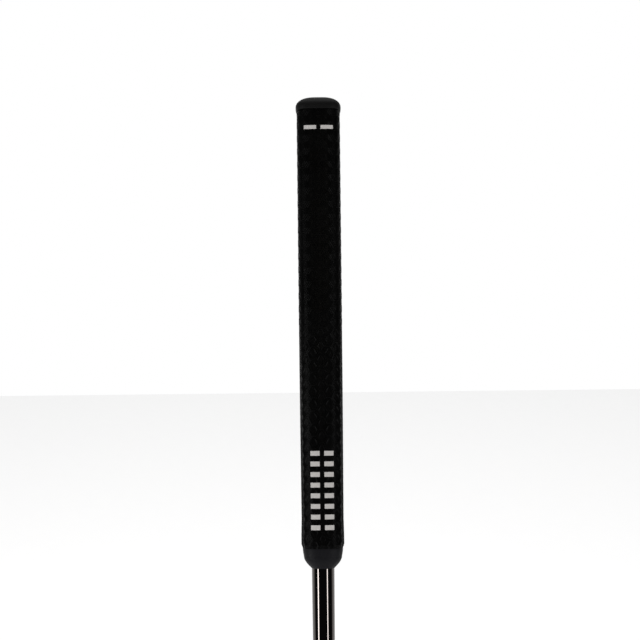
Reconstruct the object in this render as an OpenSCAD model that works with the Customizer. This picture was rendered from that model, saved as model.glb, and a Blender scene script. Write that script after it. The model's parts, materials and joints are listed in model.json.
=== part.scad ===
// Blade putter at address: the sole rests on z = 0 and the shaft leans towards the heel.
// +X points to the heel, -Y is the way the face looks, +Z is up. All sizes are in millimetres.

/* [Club] */
// Length along the shaft axis, from the ground to the top of the grip cap
club_length = 863.6; // [812.8:12.7:914.4]
// Angle between the shaft and the ground
lie_angle = 70; // [68:0.5:73]
// Backward lean of the face
loft_angle = 3; // [2:0.5:4]
// Where the shaft axis meets the ground, from the middle of the sole towards the heel
shaft_at_ground = 31; // [30:0.5:33]

/* [Head] */
// Toe to heel
head_length = 116; // [112:1:122]
// Leading edge to trailing edge
head_depth = 29; // [28.5:0.5:32]
// Ground to topline
head_height = 24.8; // [24.4:0.1:26.5]
// Thickness of the wall behind the face, which is also that of the topline
topline = 6.2; // [6:0.1:7.2]
// Height of the flange where it meets that wall
flange_height = 7.2; // [7:0.1:8.5]
// Half the distance between the two bumpers
cavity_half = 30.5; // [28:0.5:31]
// Edge radius of the toe and heel at the sole
sole_corner = 11; // [8:0.5:12]

/* [Plumber's neck] */
// Outer diameter of the boss that holds the shaft
boss_d = 13; // [12.8:0.1:14]
// Underside of the boss, measured along the shaft from the ground
boss_start = 50; // [47:0.5:53]
// Length of the boss
boss_length = 33; // [32:0.5:38]
// Depth of the shaft bore
bore_depth = 30; // [25:0.5:31]
// Height of the arm between boss and post
arm_height = 10.5; // [10:0.5:12.5]
// Width of the post, toe to heel
post_width = 12.6; // [11.5:0.1:13]
// Thickness of the post, front to back
post_depth = 9; // [8.5:0.1:9.5]

/* [Sole weights] */
// Diameter of a weight's disc
weight_d = 14.6; // [13:0.1:15]
// Thickness of the disc
weight_t = 4.3; // [3.5:0.1:4.6]
// Diameter of its threaded shank
shank_d = 8; // [6:0.5:8.5]
// Length of the shank
shank_length = 6; // [5:0.5:6.5]
// Distance of each weight from the middle of the sole
weight_at = 39; // [38.5:0.5:40]
// Width across the flats of the hexagonal socket
socket_flats = 5; // [4:0.5:5]

/* [Shaft] */
// Butt diameter, .600 inch
butt_d = 15.24; // [14.73:0.01:15.24]
// Diameter of the parallel tip, .370 inch
tip_d = 9.4; // [9.4:0.01:9.65]
// Length of the tapered part below the butt
taper_length = 584; // [500:1:650]
// Wall thickness of the tube
tube_wall = 0.55; // [0.5:0.05:0.9]

/* [Grip] */
// Length from the top of the cap to the mouth
grip_length = 267; // [254:1:280]
// Height of the cap above its seam with the wrap
cap_height = 8.6; // [8:0.1:9.5]
// Length of the collar below its seam with the wrap
collar_length = 12.8; // [12:0.1:15]
// Thickness of the embossed wrap
wrap_t = 1.6; // [1.2:0.1:1.8]
// Diameter of the vent hole through the cap
vent_d = 3; // [2:0.5:4]

/* [Hidden] */
$fn = 96;
eps = 0.01;
arc_step = 7.5;

// Head
half_length = head_length / 2;
leading = -head_depth / 2;
trailing = head_depth / 2;
face_lean = tan(loft_angle);
shaft_y = leading - tip_d / 2;
cut_above = head_height + 5;
flange_fall = 2.5;
step_height = 17.5;
step_extra = 3.5;

// Neck, in a frame whose z runs up the shaft axis
bore_r = tip_d / 2 + 0.1;
boss_end = boss_start + boss_length;
bore_floor = boss_end - bore_depth;
post_front = tip_d / 2 + 1.4;
lean = 90 - lie_angle;

// Sole weights
pocket_clear = 0.3;
hole_spare = 0.9;
thread_clear = 0.05;
weight_recess = 0.25;
washer_t = 0.46;
washer_gap = 0.02;
pocket_depth = weight_recess + weight_t + washer_t + 2 * washer_gap;
weight_y = 1;

// Sight line
line_width = 1.6;
line_length = 17;
line_depth = 0.6;
line_below = 0.1;
line_from_wall = 3.2;

// Shaft
shaft_tip = bore_floor + 1;
butt_end = club_length - 6;
taper_start = butt_end - taper_length;
tip_wall = 0.75;
tip_blend = 120;
plug_length = 12;
tape_t = 0.3;

// Grip
cap_seam = club_length - cap_height;
mouth = club_length - grip_length;
collar_seam = mouth + collar_length;
wrap_end = grip_length - collar_length;
around = 48;
back_round = 2.15;
// Distances down from the top of the cap at which the wrap has a ring
wrap_places = [cap_height + 1, 20, 32, 45, 60, 75, 92, 110, 130, 150, 170, 190, 208, 225, 234, 240, 246];
wrap_upper_edge = 0.45;
wrap_lower_edge = 0.7;
// The cap's rim stands out past the wrap, and its dome follows an arc of cap_arc degrees
cap_foot = 0.2;
cap_rim = 0.52;
cap_rise = 6.2;
cap_arc = 84;
cap_steps = 9;
// The collar's sizes are shares of the wrap's section at its lower end
collar_upper = 0.925;
collar_lower = 0.867;
collar_mouth = 0.58;
collar_straight = 7.6;
collar_steps = 7;
// Each row: distance down from the top of the cap, half width, depth of the flat front, depth of the back,
// and how square the front corners are
form = [
    [0, 12.4, 11, 13.4, 4],
    [20, 12.4, 11, 14.6, 4],
    [45, 12.35, 11, 15.6, 3.9],
    [75, 12.3, 11, 15.2, 3.8],
    [110, 12.25, 11, 13.9, 3.5],
    [150, 12.2, 10.9, 12.9, 3.2],
    [190, 12.05, 10.8, 12.4, 3],
    [225, 11.85, 10.7, 12.1, 2.8],
    [240, 11.75, 10.6, 12, 2.7],
    [246, 12, 10.8, 12.2, 2.7],
    [280, 12, 10.8, 12.2, 2.7]
];

// ---- Places ----

module on_shaft() {
    translate([shaft_at_ground, shaft_y, 0]) rotate([0, lean, 0]) children();
}

// The flange plane: origin at the foot of the wall behind the face, y running back along the flange
module on_flange() {
    translate([0, leading + topline + flange_height * face_lean, flange_height])
        rotate([-flange_fall, 0, 0]) children();
}

// Draws a y-z outline and extrudes it along x
module across(width) {
    translate([-width / 2, 0, 0]) rotate([90, 0, 90]) linear_extrude(height = width) children();
}

// Draws an x-z outline and extrudes it along y, from y0 to y1
module through(y0, y1) {
    translate([0, y1, 0]) rotate([90, 0, 0]) linear_extrude(height = y1 - y0) children();
}

// ---- Outlines ----

function unit(v) = v / norm(v);

// The arc of radius r that rounds the corner q, from its side along a to its side along b
function arc(q, a, b, r) =
    let (
        half = acos(a * b) / 2,
        centre = q + unit(a + b) * r / sin(half),
        from = q + a * r / tan(half) - centre,
        to = q + b * r / tan(half) - centre,
        steps = ceil((180 - 2 * half) / arc_step)
    )
    [for (k = [0:steps]) centre + r * unit(from * sin((180 - 2 * half) * (1 - k / steps))
        + to * sin((180 - 2 * half) * k / steps))];

// A convex outline whose corner i is rounded to radii[i]
module rounded(points, radii) {
    n = len(points);
    polygon([
        for (i = [0:n - 1])
            let (
                q = points[i],
                a = unit(points[(i + n - 1) % n] - q),
                b = unit(points[(i + 1) % n] - q)
            )
            each (radii[i] > 0 ? arc(q, a, b, radii[i]) : [q])
    ]);
}

// Fills the inside corner q, between the directions a and b, with a fillet sunk a little into both walls
module fillet(q, a, b, r) {
    edge = arc(q, a, b, r);
    sink = -unit(a + b) * 0.6;
    polygon(concat([q + sink, edge[0] + sink], edge, [edge[len(edge) - 1] + sink]));
}

// ---- Head ----

// Seen from the toe: leading edge, sole, trailing edge, crown of the bumpers, topline
module side_view() {
    rounded(
        [
            [leading, 0], [trailing, 0], [trailing, 0.32 * head_height],
            [0.14 * head_depth, 0.68 * head_height], [leading + topline + 3.5, head_height],
            [leading + head_height * face_lean, head_height]
        ],
        [2, 3, 4, 16, 3, 1.2]
    );
}

// Seen from the front: a flat sole that turns up at toe and heel, and a straight topline
module front_view() {
    rounded(
        [
            [-half_length + 1.5, 0], [half_length - 1.5, 0],
            [half_length, head_height], [-half_length, head_height]
        ],
        [sole_corner, sole_corner, 8, 8]
    );
}

// Seen from above: a straight face and a trailing edge that draws in towards its ends
module top_view() {
    rounded(
        [
            [-half_length, leading - 1], [half_length, leading - 1],
            [half_length, trailing - 3.2], [0.52 * half_length, trailing + eps],
            [-0.52 * half_length, trailing + eps], [-half_length, trailing - 3.2]
        ],
        [3.5, 3.5, 9, 90, 90, 9]
    );
}

// The hollow over the flange, from floor_z up, with round inner corners; its floor falls towards the back
module cavity(half, floor_z, fall, foot_r, corner_r) {
    wall = leading + topline;
    back = trailing + 6;
    floor_back = floor_z - (back - wall) * tan(fall);
    intersection() {
        across(2 * half + 2)
            rounded(
                [
                    [wall + floor_z * face_lean, floor_z], [back, floor_back],
                    [back, cut_above], [wall + cut_above * face_lean, cut_above]
                ],
                [foot_r, 0, 0, 0]
            );
        linear_extrude(height = cut_above + 1)
            rounded(
                [[-half, wall - 1], [half, wall - 1], [half, back + 1], [-half, back + 1]],
                [corner_r, corner_r, 0, 0]
            );
    }
}

// The sight line's groove, or with less height its paint
module sight_line(height) {
    translate([-line_width / 2, line_from_wall, -line_depth]) cube([line_width, line_length, height]);
}

module weight_pocket() {
    translate([0, 0, -1]) cylinder(d = weight_d + 2 * pocket_clear, h = pocket_depth + 1);
    cylinder(d = shank_d + 2 * thread_clear, h = pocket_depth + shank_length + hole_spare);
}

module blade() {
    difference() {
        intersection() {
            across(head_length + 2) side_view();
            through(leading - 2, trailing + 2) front_view();
            translate([0, 0, -1]) linear_extrude(height = head_height + 2) top_view();
        }
        cavity(cavity_half, flange_height, flange_fall, 2.5, 5);
        cavity(cavity_half + step_extra, step_height, 0, 1.5, 5);
        on_flange() sight_line(5);
        for (x = [-weight_at, weight_at]) translate([x, weight_y, 0]) weight_pocket();
    }
}

// Arm and post from the toe side, in the shaft's frame: an arm that steps back from the boss and turns down
module neck_side() {
    back = post_front + post_depth;
    arm_top = boss_start + arm_height;
    post_foot = (head_height - 2.3) / cos(lean);
    rounded([[0, boss_start], [back, boss_start], [back, arm_top], [0, arm_top]], [0, 0, 5, 0]);
    translate([post_front, post_foot]) square([post_depth, boss_start - post_foot + 2]);
    fillet([post_front, boss_start], [-1, 0], [0, -1], 3);
}

// Where the post grows out of the topline, from the front
module neck_root() {
    up = [sin(lean), cos(lean)];
    middle = shaft_at_ground + head_height * tan(lean);
    spread = post_width / 2 / cos(lean);
    fillet([middle - spread, head_height], [-1, 0], up, 4.5);
    fillet([middle + spread, head_height], [1, 0], up, 4.5);
}

module neck() {
    boss_r = boss_d / 2;
    chamfer = 0.8;
    on_shaft() {
        rotate_extrude()
            polygon([
                [0, boss_start], [boss_r - chamfer, boss_start], [boss_r, boss_start + chamfer],
                [boss_r, boss_end - chamfer], [boss_r - chamfer, boss_end], [0, boss_end]
            ]);
        across(post_width) neck_side();
    }
    root_back = shaft_y + post_front + post_depth;
    through(shaft_y + post_front, root_back) neck_root();
}

module head_body() {
    color("#2c2c2e")
        difference() {
            union() {
                blade();
                neck();
            }
            on_shaft() translate([0, 0, bore_floor]) cylinder(r = bore_r, h = bore_depth + 1);
        }
}

module sight_line_fill() {
    color("#e8e8e4") on_flange() sight_line(line_depth - line_below);
}

// ---- Sole weights ----

module sole_weight() {
    disc_chamfer = 0.4;
    tip_chamfer = 0.6;
    socket_depth = 3;
    disc_r = weight_d / 2;
    shank_r = shank_d / 2;
    top = weight_recess + weight_t;
    end = top + shank_length;
    difference() {
        rotate_extrude()
            polygon([
                [0, weight_recess], [disc_r - disc_chamfer, weight_recess],
                [disc_r, weight_recess + disc_chamfer], [disc_r, top], [shank_r, top],
                [shank_r, end - tip_chamfer], [shank_r - tip_chamfer, end], [0, end]
            ]);
        translate([0, 0, -1])
            cylinder(d = socket_flats / cos(30), h = 1 + weight_recess + socket_depth, $fn = 6);
    }
}

module weight_washer() {
    low = weight_recess + weight_t + washer_gap;
    inner = shank_d / 2 + 0.2;
    outer = weight_d / 2 - 0.3;
    rotate_extrude() translate([inner, low]) square([outer - inner, washer_t]);
}

module heel_weight() {
    color("#b9babd") translate([weight_at, weight_y, 0]) sole_weight();
}

module toe_weight() {
    color("#b9babd") translate([-weight_at, weight_y, 0]) sole_weight();
}

module heel_washer() {
    color("#1a1a1a") translate([weight_at, weight_y, 0]) weight_washer();
}

module toe_washer() {
    color("#1a1a1a") translate([-weight_at, weight_y, 0]) weight_washer();
}

// ---- Shaft ----

// Outer radius of the shaft at a height s along its axis
function shaft_r(s) =
    let (share = max(0, (s - taper_start) / taper_length))
    (tip_d + (butt_d - tip_d) * share) / 2;

module shaft() {
    color("#1b1817")
        on_shaft() rotate_extrude()
            polygon([
                [tip_d / 2 - tip_wall, shaft_tip], [tip_d / 2, shaft_tip], [tip_d / 2, taper_start],
                [butt_d / 2, butt_end], [butt_d / 2 - tube_wall, butt_end],
                [tip_d / 2 - tube_wall, taper_start], [tip_d / 2 - tip_wall, taper_start - tip_blend]
            ]);
}

module tip_plug() {
    color("#c9b489")
        on_shaft() translate([0, 0, shaft_tip]) cylinder(r = tip_d / 2 - tip_wall, h = plug_length);
}

module hosel_epoxy() {
    color("#8d8a80")
        on_shaft() difference() {
            translate([0, 0, bore_floor]) cylinder(r = bore_r, h = bore_depth);
            translate([0, 0, shaft_tip]) cylinder(r = tip_d / 2, h = bore_depth + 1);
        }
}

// ---- Grip ----

// One column of the form table at a distance g down from the top of the cap
function form_at(g, column) = lookup(g, [for (row = form) [row[0], row[column]]]);

// Distance from the shaft axis to the grip's surface, in the direction t around the section
function reach(w, front, back, square, t) =
    let (depth = sin(t) < 0 ? front : back, n = sin(t) < 0 ? square : back_round)
    pow(pow(abs(cos(t)) / w, n) + pow(abs(sin(t)) / depth, n), -1 / n);

// A ring of points round the grip at a distance g down from its top, drawn in by inset.
// The flat front looks towards -x, away from the player.
function ring(g, inset = 0, scale_to = 1) = [
    for (i = [0:around - 1])
        let (
            t = 360 * i / around,
            w = form_at(g, 1) - inset,
            front = form_at(g, 2) - inset,
            back = form_at(g, 3) - inset,
            r = reach(w, front, back, form_at(g, 4), t) * scale_to
        )
        [r * sin(t), r * cos(t), club_length - g]
];

// The ring that belongs at from_g, scaled about the shaft axis and moved to g
function scaled_ring(from_g, g, size) =
    [for (p = ring(from_g, 0, size)) [p[0], p[1], club_length - g]];

// A closed skin over a stack of rings. A tube's last ring joins its first, and a plug's ends are flat.
// Four-sided faces are cut along the same diagonal whichever way the stack runs, so that pieces match
// where they meet.
module skin(rings, tube) {
    count = len(rings);
    last = tube ? count - 1 : count - 2;
    sides = [
        for (i = [0:last])
            for (j = [0:around - 1])
                let (
                    a = i * around + j,
                    b = i * around + (j + 1) % around,
                    c = ((i + 1) % count) * around + (j + 1) % around,
                    d = ((i + 1) % count) * around + j,
                    down = rings[i][0][2] > rings[(i + 1) % count][0][2]
                )
                each (down ? [[a, b, c], [a, c, d]] : [[a, b, d], [b, c, d]])
    ];
    ends = tube ? [] : [
        [for (j = [around - 1:-1:0]) j],
        [for (j = [0:around - 1]) (count - 1) * around + j]
    ];
    polyhedron(points = [for (r = rings) each r], faces = concat(sides, ends), convexity = 4);
}

module grip_wrap() {
    color("#101010")
        on_shaft() skin(
            concat(
                [ring(cap_height + eps, wrap_upper_edge)],
                [for (g = wrap_places) ring(g)],
                [ring(wrap_end - wrap_t), ring(wrap_end - eps, wrap_lower_edge)],
                [ring(wrap_end - eps, wrap_t)],
                [for (i = [len(wrap_places) - 1:-1:0]) ring(wrap_places[i], wrap_t)],
                [ring(cap_height + eps, wrap_t)]
            ),
            true
        );
}

module grip_core() {
    color("#3a3a3c")
        on_shaft() difference() {
            skin(
                concat(
                    [ring(cap_height, wrap_t)],
                    [for (g = wrap_places) ring(g, wrap_t)],
                    [ring(wrap_end, wrap_t)]
                ),
                false
            );
            shaft_hole(tape_t);
        }
}

// The tapered hole that every grip piece has for the shaft
module shaft_hole(clear) {
    low = mouth - 5;
    high = cap_seam + 1;
    translate([0, 0, low]) cylinder(r1 = shaft_r(low) + clear, r2 = shaft_r(high) + clear, h = high - low);
}

module grip_tape() {
    low = collar_seam + 2;
    high = cap_seam - 1;
    color("#d8d2c0")
        on_shaft() rotate_extrude()
            polygon([
                [shaft_r(low), low], [shaft_r(low) + tape_t, low],
                [shaft_r(high) + tape_t, high], [shaft_r(high), high]
            ]);
}

// A rim a little wider than the wrap, and a low dome over it
module grip_cap() {
    widest = 1 + cap_rim / form_at(0, 1);
    color("#161616")
        on_shaft() difference() {
            skin(
                concat(
                    [ring(cap_height, -cap_foot), ring(cap_rise + 0.6, -cap_rim)],
                    [
                        for (k = [0:cap_steps])
                            let (a = cap_arc * k / cap_steps)
                            scaled_ring(0, cap_rise * (1 - sin(a) / sin(cap_arc)), cos(a) * widest)
                    ]
                ),
                false
            );
            translate([0, 0, cap_seam - 1]) cylinder(r = butt_d / 2 + 0.05, h = butt_end - cap_seam + 1.05);
            translate([0, 0, cap_seam]) cylinder(d = vent_d, h = cap_height + 1);
        }
}

// Tapers from the wrap, then rounds in to the shaft
module grip_collar() {
    turn = collar_length - collar_straight;
    color("#1d1d1d")
        on_shaft() difference() {
            skin(
                concat(
                    [scaled_ring(wrap_end, wrap_end, collar_upper)],
                    [
                        for (k = [0:collar_steps])
                            let (a = 90 * k / collar_steps)
                            scaled_ring(
                                wrap_end,
                                wrap_end + collar_straight + turn * sin(a),
                                collar_mouth + (collar_lower - collar_mouth) * cos(a)
                            )
                    ]
                ),
                false
            );
            shaft_hole(0);
        }
}

head_body();
heel_weight();
toe_weight();
heel_washer();
toe_washer();
sight_line_fill();
hosel_epoxy();
shaft();
tip_plug();
grip_tape();
grip_core();
grip_wrap();
grip_cap();
grip_collar();
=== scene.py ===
"""The looks of a blade putter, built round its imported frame.

Everything is in metres in the frame's axes: +X towards the heel, -Y the way the face looks, +Z up.
The grip, the shaft and what sits on them are made in the shaft's own frame, whose z runs up the shaft
from the ground and whose x points towards the heel. In that frame the grip's flat front looks along -x.
"""
import json
import math

import bmesh
import bpy
import numpy as np
from mathutils import Matrix, Vector
from mathutils.bvhtree import BVHTree

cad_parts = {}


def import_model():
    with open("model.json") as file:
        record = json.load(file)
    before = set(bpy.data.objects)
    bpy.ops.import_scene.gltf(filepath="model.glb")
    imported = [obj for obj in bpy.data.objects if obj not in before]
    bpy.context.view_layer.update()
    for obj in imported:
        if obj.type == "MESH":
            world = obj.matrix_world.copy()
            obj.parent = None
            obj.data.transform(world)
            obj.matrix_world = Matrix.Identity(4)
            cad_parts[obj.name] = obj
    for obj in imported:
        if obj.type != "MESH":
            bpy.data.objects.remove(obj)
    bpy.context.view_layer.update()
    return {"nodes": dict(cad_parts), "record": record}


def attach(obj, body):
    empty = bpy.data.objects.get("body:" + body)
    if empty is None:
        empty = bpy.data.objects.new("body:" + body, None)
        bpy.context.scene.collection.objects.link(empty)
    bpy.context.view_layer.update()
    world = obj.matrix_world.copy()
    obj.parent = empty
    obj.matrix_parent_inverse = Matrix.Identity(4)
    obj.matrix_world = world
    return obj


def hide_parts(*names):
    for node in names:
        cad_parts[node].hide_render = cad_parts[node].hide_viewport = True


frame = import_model()

MM = 0.001
TURN = 2 * math.pi


# ---- The shaft's frame ----

mounts = {mount["name"]: mount for mount in frame["record"]["mounts"]}
UP_SHAFT = Vector(mounts["grip"]["axis"]).normalized()
HEELWARD = Vector((UP_SHAFT.z, 0, -UP_SHAFT.x))
held_at = Vector(mounts["grip"]["pos_m"])
SHAFT_FRAME = Matrix((HEELWARD, Vector((0, 1, 0)), UP_SHAFT)).transposed().to_4x4()
SHAFT_FRAME.translation = held_at - UP_SHAFT * (held_at.z / UP_SHAFT.z)
FROM_ROW = SHAFT_FRAME.inverted()


def along(node):
    """The lowest and highest place of a CAD node along the shaft."""
    heights = [(FROM_ROW @ v.co).z for v in frame["nodes"][node].data.vertices]
    return min(heights), max(heights)


MOUTH, COLLAR_TOP = along("grip_collar")
WRAP_LOW, WRAP_HIGH = along("grip_wrap")
CLUB_TOP = along("grip_cap")[1]


# ---- Mesh helpers ----


def smoothstep(x):
    x = np.clip(x, 0, 1)
    return x * x * (3 - 2 * x)


def piece_from(name, mesh, body, angle=None):
    """Makes an object of a mesh, shades it, and lets it ride on a body."""
    for polygon in mesh.polygons:
        polygon.use_smooth = True
    if angle is not None:
        mesh.set_sharp_from_angle(angle=math.radians(angle))
    piece = bpy.data.objects.new(name, mesh)
    bpy.context.scene.collection.objects.link(piece)
    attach(piece, body)
    return piece


def mesh_from(name, points, faces):
    mesh = bpy.data.meshes.new(name)
    mesh.from_pydata([tuple(p) for p in points], [], faces)
    mesh.update()
    return mesh


def faced_outwards(mesh, thickness=0.0):
    """Turns a mesh's faces outwards, and gives it a thickness where one is asked for."""
    bm = bmesh.new()
    bm.from_mesh(mesh)
    bmesh.ops.recalc_face_normals(bm, faces=bm.faces)
    if thickness:
        bmesh.ops.solidify(bm, geom=list(bm.faces), thickness=thickness)
    bm.to_mesh(mesh)
    bm.free()
    return mesh


def ring_stack(name, rings):
    """A closed mesh over rings of equally many points, whose last ring joins the first."""
    count = len(rings[0])
    points = np.concatenate(rings)
    faces = []
    for i in range(len(rings)):
        a, b = i * count, (i + 1) % len(rings) * count
        for j in range(count):
            k = (j + 1) % count
            faces.append((a + j, a + k, b + k, b + j))
    mesh = mesh_from(name, points, faces)
    mesh.transform(SHAFT_FRAME)
    return faced_outwards(mesh)


def circle(radius, height, count):
    turn = np.arange(count) * TURN / count
    return np.stack([radius * np.cos(turn), radius * np.sin(turn), np.full(count, height)], axis=1)


def lathe(name, profile, count):
    """Turns a list of (radius, height) about the shaft's axis."""
    rings = [circle(radius, height, count) for radius, height in profile]
    return ring_stack(name, rings)


# ---- The grip's section, read from the CAD wrap ----

READ_STEP = 2.5 * MM
READ_AROUND = 48
SECTION_STEPS = 720
PHASE_STEPS = 721
READ_MARGIN = 2.2 * MM  # keeps the reading clear of the wrap's rounded ends


class Section:
    """The wrap's outer surface. phase runs from -0.5 to 0.5 round the grip, by length along the surface,
    with 0 at the middle of the front."""

    def __init__(self):
        node = frame["nodes"]["grip_wrap"]
        points = [FROM_ROW @ v.co for v in node.data.vertices]
        tree = BVHTree.FromPolygons(points, [tuple(p.vertices) for p in node.data.polygons])
        low, high = WRAP_LOW + READ_MARGIN, WRAP_HIGH - READ_MARGIN
        count = int((WRAP_HIGH - WRAP_LOW - 2 * READ_MARGIN) / READ_STEP)
        self.heights = np.linspace(low, high, count)
        turns = np.arange(READ_AROUND) * TURN / READ_AROUND
        radii = np.array([[self.reach(tree, s, t) for t in turns] for s in self.heights])
        radii = self.softened(radii)
        spectrum = np.fft.rfft(radii, axis=1)
        padded = np.zeros((count, SECTION_STEPS // 2 + 1), complex)
        padded[:, : spectrum.shape[1]] = spectrum
        fine = np.fft.irfft(padded, n=SECTION_STEPS, axis=1) * (SECTION_STEPS / READ_AROUND)
        front = SECTION_STEPS * 3 // 4
        fine = np.roll(fine, SECTION_STEPS // 2 - front, axis=1)
        fine = np.concatenate([fine, fine[:, :1]], axis=1)
        turn = np.linspace(-math.pi, math.pi, SECTION_STEPS + 1) - math.pi / 2
        x, y = fine * np.sin(turn), fine * np.cos(turn)
        steps = np.hypot(np.diff(x, axis=1), np.diff(y, axis=1))
        length = np.concatenate([np.zeros((count, 1)), np.cumsum(steps, axis=1)], axis=1)
        middle = length[:, SECTION_STEPS // 2 : SECTION_STEPS // 2 + 1]
        phase = (length - middle) / length[:, -1:]
        grid = np.linspace(-0.5, 0.5, PHASE_STEPS)
        self.turn = np.array([np.interp(grid, p, turn) for p in phase])
        self.radius = np.array([np.interp(grid, p, r) for p, r in zip(phase, fine)])
        self.around = length[:, -1]

    @staticmethod
    def reach(tree, s, t):
        out = Vector((math.sin(t), math.cos(t), 0))
        hit = tree.ray_cast(out * 0.05 + Vector((0, 0, s)), -out)[0]
        return math.hypot(hit.x, hit.y)

    @staticmethod
    def softened(radii):
        """Eases the kinks between the CAD's straight stretches, but keeps both ends."""
        kernel = np.array([1, 4, 6, 4, 1]) / 16
        padded = np.pad(radii, ((2, 2), (0, 0)), mode="reflect", reflect_type="odd")
        return sum(w * padded[i : i + len(radii)] for i, w in enumerate(kernel))

    def lookup(self, table, s, phase):
        phase = (np.asarray(phase) + 0.5) % 1.0 * (PHASE_STEPS - 1)
        step = self.heights[1] - self.heights[0]
        row = np.clip((s - self.heights[0]) / step, 0, len(self.heights) - 1.001)
        i, j = row.astype(int), np.minimum(phase.astype(int), PHASE_STEPS - 2)
        u, v = row - i, phase - j
        return (
            table[i, j] * (1 - u) * (1 - v)
            + table[i + 1, j] * u * (1 - v)
            + table[i, j + 1] * (1 - u) * v
            + table[i + 1, j + 1] * u * v
        )

    def points(self, s, phase, lift=0.0):
        """Points of the surface in the shaft's frame, moved out by lift."""
        s = np.broadcast_to(np.asarray(s, float), np.shape(phase))
        turn = self.lookup(self.turn, s, phase)
        radius = self.lookup(self.radius, s, phase) + lift
        return np.stack([radius * np.sin(turn), radius * np.cos(turn), s], axis=-1)


section = Section()


# ---- Embossed wrap ----

COLUMNS = 18
# How far below the top of the cap a row of the front's middle column lies, which the others follow
ROW_REST = 84.3 * MM
ROW_UPPER = 7.55 * MM
ROW_LOWER = 7.0 * MM
ROW_BLEND = (84 * MM, 182 * MM)
COLUMN_NOMINAL = 4.69 * MM
ROW_NOMINAL = 7.3 * MM
CELL_HALF_WIDTH = 3.5 * MM
CELL_HALF_HEIGHT = ROW_NOMINAL / 2
CELL_FLAT = 1.19 * MM  # half the length of a cell's level top edge
SIDE_PIECES = 3
# Each ring of a cell: how far it lies inside the cell's edge, and its depth in the upper and the lower zone
CELL_RINGS = [
    (0.00, 0.09, 0.10),
    (0.15, 0.09, 0.10),
    (0.33, 0.30, 0.26),
    (0.70, 0.33, 0.30),
    (0.86, 0.14, 0.09),
    (1.08, 0.13, 0.07),
    (1.26, 0.30, 0.09),
    (1.60, 0.32, 0.28),
    (1.82, 0.04, 0.33),
    (2.30, 0.00, 0.34),
]
ZONE_BLEND = (122 * MM, 167 * MM)
# The wrap's ends are drawn in, by the first number, over the second
UPPER_END = (0.45 * MM, 1.1 * MM)
LOWER_END = (0.7 * MM, 1.6 * MM)


def row_table():
    """Distance below the top of the cap, and the lattice row that lies there."""
    below = np.linspace(-10 * MM, 270 * MM, 1401)
    share = smoothstep((below - ROW_BLEND[0]) / (ROW_BLEND[1] - ROW_BLEND[0]))
    pitch = ROW_UPPER + (ROW_LOWER - ROW_UPPER) * share
    step = below[1] - below[0]
    row = np.concatenate([[0], np.cumsum(step / (pitch[1:] + pitch[:-1]) * 2)])
    return below, row - np.interp(ROW_REST, below, row)


BELOW, ROW = row_table()


def cell_ring(inset):
    """The six corners of a cell's edge moved inwards, as (across, up)."""
    slant = math.hypot(CELL_HALF_WIDTH - CELL_FLAT, CELL_HALF_HEIGHT)
    half_width = CELL_HALF_WIDTH - inset * slant / CELL_HALF_HEIGHT
    flat = CELL_FLAT - inset * (slant - CELL_HALF_WIDTH + CELL_FLAT) / CELL_HALF_HEIGHT
    height = CELL_HALF_HEIGHT - inset
    flat = max(flat, 0.06 * MM)
    upper = [(half_width, 0), (flat, height), (-flat, height)]
    corners = upper + [(-x, -y) for x, y in upper]
    ring = []
    for i, corner in enumerate(corners):
        after = corners[(i + 1) % 6]
        pieces = 1 if i in (1, 4) else SIDE_PIECES
        for k in range(pieces):
            t = k / pieces
            ring.append((corner[0] * (1 - t) + after[0] * t, corner[1] * (1 - t) + after[1] * t))
    return ring


def lattice():
    """The whole lattice laid flat: x counts columns, y counts rows and z holds each ring's number."""
    template = [(cell_ring(ring[0] * MM), i) for i, ring in enumerate(CELL_RINGS)]
    bm = bmesh.new()
    welded = {}

    def corner(column, row, across, up, level):
        x = column + across / COLUMN_NOMINAL
        y = row + up / ROW_NOMINAL
        key = (round(x * 2000), round(y * 2000))
        if level > 0 or key not in welded:
            vert = bm.verts.new((x, y, level))
            if level > 0:
                return vert
            welded[key] = vert
        return welded[key]

    first = math.floor(np.interp(CLUB_TOP - WRAP_HIGH, BELOW, ROW)) - 1
    last = math.ceil(np.interp(CLUB_TOP - WRAP_LOW, BELOW, ROW)) + 1
    for column in range(-COLUMNS // 2, COLUMNS // 2):
        for whole in range(first, last + 1):
            row = whole + (column % 2) / 2
            rings = [[corner(column, row, *p, level) for p in ring] for ring, level in template]
            for outer, inner in zip(rings, rings[1:]):
                for k in range(len(outer)):
                    after = (k + 1) % len(outer)
                    bm.faces.new((outer[k], outer[after], inner[after], inner[k]))
            bm.faces.new(rings[-1])
    return bm


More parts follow.
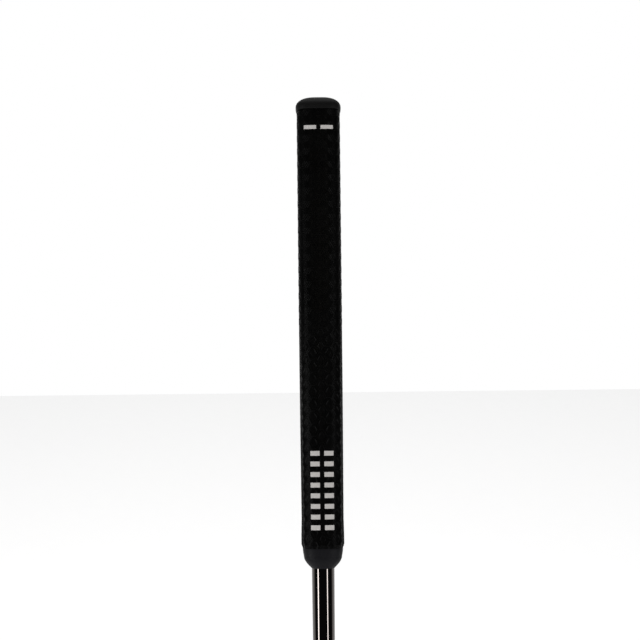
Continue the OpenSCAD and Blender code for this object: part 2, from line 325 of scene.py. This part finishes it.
def grip_skin():
    """Maps the lattice on to the wrap and trims it at both seams. It is an outer surface, open inside."""
    bm = lattice()
    for limit, side in ((CLUB_TOP - WRAP_HIGH, -1), (CLUB_TOP - WRAP_LOW, 1)):
        row = float(np.interp(limit, BELOW, ROW))
        everything = list(bm.verts) + list(bm.edges) + list(bm.faces)
        bmesh.ops.bisect_plane(
            bm, geom=everything, plane_co=(0, row, 0), plane_no=(0, side, 0), clear_outer=True, dist=1e-5
        )
    flat = np.array([v.co for v in bm.verts])
    below = np.interp(flat[:, 1], ROW, BELOW)
    s = CLUB_TOP - below
    zone = smoothstep((below - ZONE_BLEND[0]) / (ZONE_BLEND[1] - ZONE_BLEND[0]))
    levels = np.arange(len(CELL_RINGS))
    upper = np.interp(flat[:, 2], levels, [ring[1] for ring in CELL_RINGS])
    lower = np.interp(flat[:, 2], levels, [ring[2] for ring in CELL_RINGS])
    depth = (upper + (lower - upper) * zone) * MM
    depth += UPPER_END[0] * (1 - smoothstep((WRAP_HIGH - s) / UPPER_END[1]))
    depth += LOWER_END[0] * (1 - smoothstep((s - WRAP_LOW) / LOWER_END[1]))
    placed = section.points(s, flat[:, 0] / COLUMNS, -depth)
    for vert, point in zip(bm.verts, placed):
        vert.co = SHAFT_FRAME @ Vector(point)
    bmesh.ops.remove_doubles(bm, verts=bm.verts, dist=0.01 * MM)
    bmesh.ops.recalc_face_normals(bm, faces=bm.faces)
    mesh = bpy.data.meshes.new("grip_skin")
    bm.to_mesh(mesh)
    bm.free()
    return mesh


# ---- Materials ----


class Shader:
    """A node material under construction."""

    def __init__(self, name):
        self.material = bpy.data.materials.new(name)
        self.material.use_nodes = True
        self.tree = self.material.node_tree
        self.surface = self.tree.nodes["Principled BSDF"]
        self.output = self.tree.nodes["Material Output"]

    def node(self, kind, inputs=None, **settings):
        node = self.tree.nodes.new("ShaderNode" + kind)
        for key, value in settings.items():
            setattr(node, key, value)
        for key, value in (inputs or {}).items():
            self.put(node.inputs[key], value)
        return node

    def put(self, socket, value):
        if isinstance(value, bpy.types.NodeSocket):
            self.tree.links.new(value, socket)
        else:
            socket.default_value = value

    def set(self, **values):
        for key, value in values.items():
            self.put(self.surface.inputs[key.replace("_", " ").title().replace("Ior", "IOR")], value)

    def place(self):
        return self.node("TexCoord").outputs["Object"]

    def noise(self, scale, detail=3.0, roughness=0.5):
        inputs = {"Scale": scale, "Detail": detail, "Roughness": roughness, "Vector": self.place()}
        return self.node("TexNoise", inputs).outputs["Fac"]

    def ramp(self, factor, low, high, start=0.0, end=1.0):
        inputs = {"Value": factor, "From Min": start, "From Max": end}
        inputs.update({"To Min": low, "To Max": high})
        return self.node("MapRange", inputs).outputs["Result"]

    def blend(self, factor, one, other):
        node = self.node("Mix", {"Factor": factor}, data_type="RGBA")
        self.put(node.inputs[6], one)
        self.put(node.inputs[7], other)
        return node.outputs[2]

    def bump(self, height, strength, distance):
        inputs = {"Height": height, "Strength": strength, "Distance": distance}
        return self.node("Bump", inputs).outputs["Normal"]


def rubber(name, dark, light, rough, shine, grain=1.0):
    shader = Shader(name)
    broad = shader.noise(60.0, 4.0, 0.6)
    fine = shader.noise(2600.0, 2.0)
    colour = shader.blend(shader.ramp(broad, 0.0, 1.0, 0.35, 0.65), (*dark, 1), (*light, 1))
    shader.set(base_color=colour, roughness=shader.ramp(broad, rough - 0.05, rough + 0.05, 0.3, 0.7))
    shader.set(specular_ior_level=shine, normal=shader.bump(fine, 0.25 * grain, 0.03 * MM))
    return shader.material


def black_chrome():
    shader = Shader("black_chrome")
    smear = shader.noise(45.0, 3.0, 0.6)
    shader.set(base_color=(0.1, 0.09, 0.085, 1), metallic=1.0)
    shader.set(roughness=shader.ramp(smear, 0.03, 0.07, 0.35, 0.65))
    shader.set(normal=shader.bump(shader.noise(900.0), 0.03, 0.01 * MM))
    return shader.material


def ink():
    shader = Shader("mark_ink")
    grain = shader.noise(1800.0, 2.0)
    colour = shader.blend(grain, (0.33, 0.315, 0.305, 1), (0.42, 0.405, 0.395, 1))
    shader.set(base_color=colour, roughness=0.6)
    return shader.material


def paint(name, colour, other, rough):
    shader = Shader(name)
    grain = shader.noise(900.0, 2.0)
    shader.set(base_color=shader.blend(grain, (*colour, 1), (*other, 1)), roughness=rough)
    shader.set(normal=shader.bump(grain, 0.1, 0.03 * MM))
    return shader.material


def steel(name, colour, rough):
    shader = Shader(name)
    broad = shader.noise(120.0, 4.0, 0.6)
    shader.set(base_color=(*colour, 1), metallic=1.0)
    shader.set(roughness=shader.ramp(broad, rough - 0.06, rough + 0.06, 0.3, 0.7))
    shader.set(normal=shader.bump(shader.noise(1500.0, 2.0), 0.1, 0.02 * MM))
    return shader.material


def dress(obj, material):
    obj.data.materials.clear()
    obj.data.materials.append(material)


# ---- Pieces ----

wrap_rubber = rubber("wrap_rubber", (0.0008, 0.0008, 0.0008), (0.0014, 0.0014, 0.0014), 0.34, 0.03)
cap_rubber = rubber("cap_rubber", (0.003, 0.003, 0.003), (0.004, 0.004, 0.004), 0.55, 0.06, 1.5)
collar_rubber = rubber("collar_rubber", (0.004, 0.004, 0.005), (0.005, 0.005, 0.0062), 0.55, 0.08, 1.5)
chrome = black_chrome()

wrap = piece_from("grip_skin", grip_skin(), "club", angle=28)
dress(wrap, wrap_rubber)
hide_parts("grip_wrap")

RIM = 0.52 * MM
CAP_RISE = 6.2 * MM
CAP_ARC = math.radians(84)
WRAP_THICK = 1.6 * MM
AROUND = 192
CAP_HALF_WIDTH = 12.4 * MM
CAP_BACK_SHARE = 13.4 / 13.92  # the dome's back is a little shallower than the wrap's at the seam
CAP_STEPS = 26
VENT_RADIUS = 1.5 * MM
VENT_LIP = 0.35 * MM
VENT_DEPTH = 3 * MM
SHAFT_ROOM = 7.6 * MM  # radius of the hollow that the shaft's butt sits in


def ring_of(s, at, size=1.0, lift=0.0, count=AROUND):
    """A ring of the wrap's section at a height, scaled about the shaft and moved to height s."""
    phase = np.arange(count) / count - 0.5
    ring = section.points(at, phase, lift)
    ring[:, :2] *= size
    ring[:, 2] = s
    return ring


def hole_ring(turn, radius, height):
    """A round ring whose points lie in the directions of turn."""
    return np.stack([radius * np.sin(turn), radius * np.cos(turn), np.full(len(turn), height)], axis=1)


def grip_cap():
    low = WRAP_HIGH
    widest = 1 + RIM / CAP_HALF_WIDTH
    rings = [ring_of(low, WRAP_HIGH, 1, -WRAP_THICK), ring_of(low, WRAP_HIGH, 1, -0.1 * MM)]
    rings.append(ring_of(low + 0.12 * MM, WRAP_HIGH, 1, 0.12 * MM))
    for k in range(4):
        t = (k + 1) / 4
        out = (0.2 + 0.32 * math.sin(t * math.pi / 2)) * MM
        rings.append(ring_of(low + (0.3 + 1.6 * t) * MM, WRAP_HIGH, 1, out))
    for k in range(CAP_STEPS + 1):
        a = CAP_ARC * k / CAP_STEPS
        size = math.cos(a) * widest
        ring = ring_of(CLUB_TOP - CAP_RISE * (1 - math.sin(a) / math.sin(CAP_ARC)), WRAP_HIGH, size)
        if size * 12 * MM < VENT_RADIUS + VENT_LIP:
            break
        ring[:, 0] = np.where(ring[:, 0] > 0, ring[:, 0] * CAP_BACK_SHARE, ring[:, 0])
        rings.append(ring)
    top = CLUB_TOP - 0.02 * MM
    turn = np.arctan2(rings[-1][:, 0], rings[-1][:, 1])

    def hole(radius, height):
        return hole_ring(turn, radius, height)

    rings += [hole(VENT_RADIUS + VENT_LIP, top - 0.02 * MM), hole(VENT_RADIUS + 0.1 * MM, top - 0.1 * MM)]
    rings += [hole(VENT_RADIUS, top - 0.35 * MM), hole(VENT_RADIUS, top - VENT_DEPTH)]
    rings += [hole(SHAFT_ROOM, top - VENT_DEPTH - 0.2 * MM), hole(SHAFT_ROOM, low)]
    return ring_stack("grip_cap_dome", rings)


cap = piece_from("grip_cap_dome", grip_cap(), "club", angle=60)
dress(cap, cap_rubber)
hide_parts("grip_cap")

COLLAR_UPPER = 0.933
COLLAR_LOWER = 0.883
COLLAR_STRAIGHT = 4.7 * MM
MOUTH_LIP = 0.2 * MM
MOUTH_SPARE = 1.5 * MM  # how far above the CAD collar's mouth the photographed one ends
SHAFT_FIT = 0.02 * MM
COLLAR_STEPS = 24
TAPER = 584 * MM
TIP_DIAMETER, BUTT_DIAMETER = 9.4, 15.24  # in mm
TUBE_WALL = 0.55 * MM


def shaft_radius(s):
    """Outer radius of the shaft, from its tip and butt diameters and the top of the CAD shaft."""
    high = along("shaft")[1]
    share = max(0.0, (s - (high - TAPER)) / TAPER)
    return (TIP_DIAMETER + (BUTT_DIAMETER - TIP_DIAMETER) * share) / 2 * MM


def grip_collar():
    low = MOUTH + MOUTH_SPARE
    turn = COLLAR_TOP - low - COLLAR_STRAIGHT
    rings = [ring_of(COLLAR_TOP, WRAP_LOW, 0.62), ring_of(COLLAR_TOP, WRAP_LOW, COLLAR_UPPER - 0.012)]
    rings.append(ring_of(COLLAR_TOP - 0.25 * MM, WRAP_LOW, COLLAR_UPPER - 0.002))
    for k in range(6):
        t = k / 6
        s = COLLAR_TOP - 0.5 * MM - (COLLAR_STRAIGHT - 0.5 * MM) * t
        rings.append(ring_of(s, WRAP_LOW, COLLAR_UPPER + (COLLAR_LOWER - COLLAR_UPPER) * t**1.5))
    for k in range(COLLAR_STEPS + 1):
        share = k / COLLAR_STEPS
        drawn = 1 - math.cos(math.pi / 2 * share)
        ring = ring_of(COLLAR_TOP - COLLAR_STRAIGHT - turn * share, WRAP_LOW, COLLAR_LOWER)
        radius = np.hypot(ring[:, 0], ring[:, 1])
        ring[:, :2] *= (1 - drawn + drawn * (shaft_radius(low) + MOUTH_LIP) / radius)[:, None]
        rings.append(ring)
    direction = np.arctan2(rings[-1][:, 0], rings[-1][:, 1])
    inner = shaft_radius(low) + SHAFT_FIT
    rings += [hole_ring(direction, inner, low + 0.05 * MM)]
    rings += [hole_ring(direction, shaft_radius(COLLAR_TOP) + SHAFT_FIT, COLLAR_TOP)]
    return ring_stack("grip_mouth", rings)


collar = piece_from("grip_mouth", grip_collar(), "club", angle=50)
dress(collar, collar_rubber)
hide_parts("grip_collar")


def shaft_tube():
    low, high = along("shaft")
    places = np.linspace(low, high, 60)
    profile = [(shaft_radius(s), s) for s in places]
    profile += [(shaft_radius(s) - TUBE_WALL, s) for s in places[::-1]]
    return lathe("shaft_tube", profile, count=160)


tube = piece_from("shaft_tube", shaft_tube(), "club", angle=60)
dress(tube, chrome)
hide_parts("shaft")

# ---- Alignment marks printed on the grip ----

MARK_LIFT = 0.03 * MM


def mark_patch(points, s0, s1, across0, across1):
    """A thin plate of ink that follows the wrap, between two heights and two distances from the
    middle of the front."""
    steps = 8
    around = float(np.interp((s0 + s1) / 2, section.heights, section.around))
    phases = np.linspace(across0, across1, steps + 1) / around
    first = len(points)
    for s in np.linspace(s0, s1, 3):
        for p in section.points(s, phases, MARK_LIFT):
            points.append(p)
    rows = [[first + i * (steps + 1) + j for j in range(steps + 1)] for i in range(3)]
    faces = []
    for low, high in zip(rows, rows[1:]):
        faces += [(low[j], low[j + 1], high[j + 1], high[j]) for j in range(steps)]
    return faces


LADDER_TOP = CLUB_TOP - 201 * MM
LADDER_BOTTOM = CLUB_TOP - 244 * MM
LADDER_RUNGS = 8
RUNG_THICK = 2.6 * MM
RUNG_INNER = 1.25 * MM
RUNG_OUTER = 6.4 * MM
BAR_AT = CLUB_TOP - 19.5 * MM
BAR_HALF = 1.1 * MM
BAR_OUTER = 8.2 * MM
INK_THICK = 0.1 * MM


def marks():
    points, faces = [], []
    rungs = np.linspace(LADDER_BOTTOM + RUNG_THICK / 2, LADDER_TOP - RUNG_THICK / 2, LADDER_RUNGS)
    for side in (-1, 1):
        for s in rungs:
            ends = (s - RUNG_THICK / 2, s + RUNG_THICK / 2)
            faces += mark_patch(points, *ends, side * RUNG_INNER, side * RUNG_OUTER)
    for side in (-1, 1):
        ends = (BAR_AT - BAR_HALF, BAR_AT + BAR_HALF)
        faces += mark_patch(points, *ends, side * RUNG_INNER, side * BAR_OUTER)
    mesh = mesh_from("grip_marks", [SHAFT_FRAME @ Vector(p) for p in points], faces)
    return faced_outwards(mesh, INK_THICK)


printed = piece_from("grip_marks", marks(), "club", angle=40)
dress(printed, ink())

head_finish = steel("head_steel", (0.09, 0.09, 0.095), 0.34)
weight_finish = steel("weight_steel", (0.55, 0.55, 0.56), 0.28)
nylon = paint("washer_nylon", (0.015, 0.015, 0.015), (0.02, 0.02, 0.02), 0.5)
for node, material in {
    "head_body": head_finish,
    "heel_weight": weight_finish,
    "toe_weight": weight_finish,
    "heel_washer": nylon,
    "toe_washer": nylon,
    "sight_line_fill": paint("sight_paint", (0.75, 0.75, 0.72), (0.82, 0.82, 0.8), 0.45),
    "hosel_epoxy": paint("epoxy", (0.4, 0.38, 0.32), (0.48, 0.46, 0.4), 0.25),
    "tip_plug": paint("plug_cork", (0.42, 0.3, 0.17), (0.55, 0.42, 0.26), 0.8),
    "grip_tape": paint("tape_paper", (0.6, 0.56, 0.46), (0.7, 0.66, 0.56), 0.85),
    "grip_core": paint("core_foam", (0.03, 0.03, 0.032), (0.045, 0.045, 0.048), 0.9),
}.items():
    dress(frame["nodes"][node], material)


# ---- Studio ----


def camera():
    """Square to the grip's flat front, with the middle of the picture a little towards the butt."""
    below, distance = 183 * MM, 622 * MM
    pitch, roll = math.radians(5.07), math.radians(0.63)
    foot = SHAFT_FRAME @ Vector((0, 0, CLUB_TOP - below))
    forward = (HEELWARD * math.cos(pitch) + UP_SHAFT * math.sin(pitch)).normalized()
    upright = (UP_SHAFT - forward * UP_SHAFT.dot(forward)).normalized()
    across = forward.cross(upright)
    right = across * math.cos(roll) - upright * math.sin(roll)
    up = upright * math.cos(roll) + across * math.sin(roll)
    data = bpy.data.cameras.new("camera")
    data.lens = 62.16
    data.sensor_width = 36
    data.clip_start = 0.01
    obj = bpy.data.objects.new("camera", data)
    bpy.context.scene.collection.objects.link(obj)
    obj.matrix_world = Matrix((right, up, -forward)).transposed().to_4x4()
    obj.location = foot - HEELWARD * distance - right * 0.24 * MM
    bpy.context.scene.camera = obj


def lamp(name, place, aim, size, power, colour=(1, 1, 1)):
    data = bpy.data.lights.new(name, "AREA")
    data.shape = "RECTANGLE"
    data.size, data.size_y = size
    data.energy = power
    data.color = colour
    obj = bpy.data.objects.new(name, data)
    bpy.context.scene.collection.objects.link(obj)
    obj.location = place
    obj.rotation_mode = "QUATERNION"
    obj.rotation_quaternion = (Vector(aim) - Vector(place)).to_track_quat("-Z", "Y")


def floor():
    size = 2.2
    corners = [(-size, -size, 0), (size, -size, 0), (size, size, 0), (-size, size, 0)]
    mesh = mesh_from("floor", corners, [(0, 1, 2, 3)])
    obj = bpy.data.objects.new("floor", mesh)
    bpy.context.scene.collection.objects.link(obj)
    obj.location.z = -0.0002
    shader = Shader("floor_paper")
    tree = shader.tree
    rays = shader.node("LightPath")
    grain = shader.noise(40.0, 2.0)
    paper = shader.blend(grain, (0.74, 0.74, 0.74, 1), (0.78, 0.78, 0.78, 1))
    diffuse = shader.node("BsdfDiffuse", {"Color": paper})
    glow = shader.node("Emission", {"Color": (1, 1, 1, 1), "Strength": 0.5})
    both = shader.node("AddShader")
    tree.links.new(diffuse.outputs[0], both.inputs[0])
    tree.links.new(glow.outputs[0], both.inputs[1])
    either = {0: rays.outputs["Is Camera Ray"], 1: rays.outputs["Is Glossy Ray"]}
    seen = shader.node("Math", either, operation="MAXIMUM")
    either = {0: seen.outputs[0], 1: rays.outputs["Is Transmission Ray"]}
    seen = shader.node("Math", either, operation="MAXIMUM")
    mixed = shader.node("MixShader", {"Fac": seen.outputs[0]})
    tree.links.new(diffuse.outputs[0], mixed.inputs[1])
    tree.links.new(both.outputs[0], mixed.inputs[2])
    clear = shader.node("BsdfTransparent")
    side = shader.node("NewGeometry")
    final = shader.node("MixShader", {"Fac": side.outputs["Backfacing"]})
    tree.links.new(mixed.outputs[0], final.inputs[1])
    tree.links.new(clear.outputs[0], final.inputs[2])
    tree.links.new(final.outputs[0], shader.output.inputs["Surface"])
    dress(obj, shader.material)


def world():
    """White to the camera everywhere. A metal sees white behind the putter and a dim room before it."""
    data = bpy.data.worlds.new("studio")
    bpy.context.scene.world = data
    data.use_nodes = True
    tree = data.node_tree
    tree.nodes.clear()

    def add(kind, **settings):
        node = tree.nodes.new("ShaderNode" + kind)
        for key, value in settings.items():
            setattr(node, key, value)
        return node

    place = add("TexCoord")
    split = add("SeparateXYZ")
    tree.links.new(place.outputs["Generated"], split.inputs[0])
    room = add("MapRange", interpolation_type="SMOOTHSTEP")
    tree.links.new(split.outputs["X"], room.inputs["Value"])
    room.inputs["From Min"].default_value = -0.1
    room.inputs["From Max"].default_value = 0.45
    room.inputs["To Min"].default_value = 0.02
    room.inputs["To Max"].default_value = 1.0
    rays = add("LightPath")
    seen = add("Mix", data_type="FLOAT")
    tree.links.new(rays.outputs["Is Camera Ray"], seen.inputs[0])
    soft = add("Mix", data_type="FLOAT")
    tree.links.new(rays.outputs["Is Diffuse Ray"], soft.inputs[0])
    tree.links.new(room.outputs["Result"], soft.inputs[2])
    soft.inputs[3].default_value = 0.35
    tree.links.new(soft.outputs[0], seen.inputs[2])
    seen.inputs[3].default_value = 1.0
    background = add("Background")
    background.inputs["Color"].default_value = (1, 1, 1, 1)
    tree.links.new(seen.outputs[0], background.inputs["Strength"])
    output = add("OutputWorld")
    tree.links.new(background.outputs[0], output.inputs["Surface"])


def studio():
    bpy.context.scene.view_settings.view_transform = "Standard"
    middle = held_at
    low = Vector((middle.x, middle.y, 0.45))
    # Softboxes in front of the flat, whose reflections are the two bright lines down the shaft
    lamp("left_box", low + Vector((-0.95, 1.17, 0.1)), low, (0.24, 1.3), 14)
    lamp("right_box", low + Vector((-1.14, -0.97, 0.2)), low, (0.2, 1.3), 9)
    lamp("top_box", middle + Vector((0.3, 0, 1.5)), middle, (1.4, 1.4), 14)
    lamp("warm_spot", middle + Vector((-1.35, -0.05, 0.75)), middle, (0.25, 0.25), 1.0, (1, 0.9, 0.75))


camera()
floor()
world()
studio()
